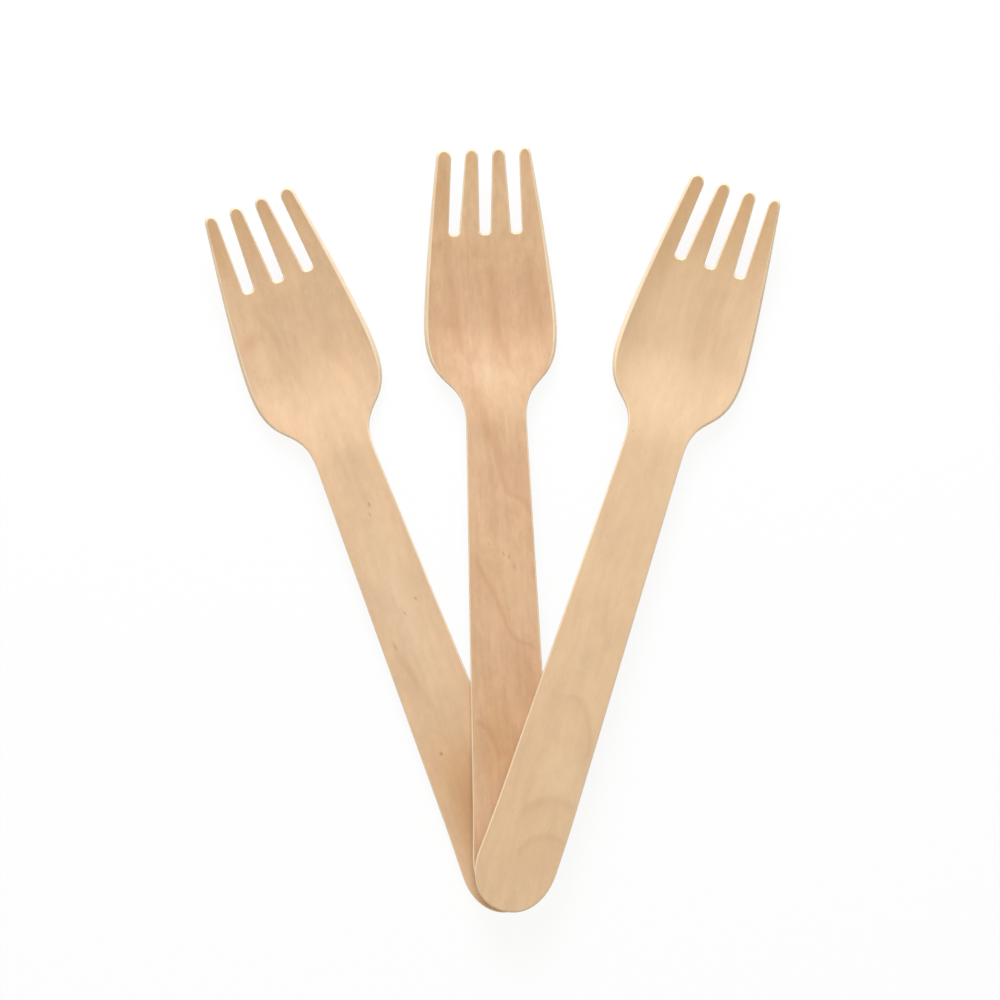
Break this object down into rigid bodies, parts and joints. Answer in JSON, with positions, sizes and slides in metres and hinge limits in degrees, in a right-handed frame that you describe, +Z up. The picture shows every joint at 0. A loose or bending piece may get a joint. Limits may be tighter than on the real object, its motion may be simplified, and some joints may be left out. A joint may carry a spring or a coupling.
{
  "type": "pack of wooden forks",
  "caption": "Fan of pressed wood-veneer forks with dished heads, slim round-tipped tines and flat round-ended handles that lie on one another.",
  "frame": {"origin": "centre of the fan's bounding box, on the surface that it lies on", "axes": "+Y from the handles' round ends to the tines, +Z up, +X to the right seen from above"},
  "size_m": [0.1198, 0.1606, 0.0092],
  "materials": {
    "left_fork": "matt pressed birch veneer, bare",
    "middle_fork": "matt pressed birch veneer, bare, a little darker and pinker",
    "right_fork": "matt pressed birch veneer, bare"
  },
  "bodies": {
    "root": {"left_fork": "left_fork", "middle_fork": "middle_fork", "right_fork": "right_fork"}
  },
  "joints": []
}
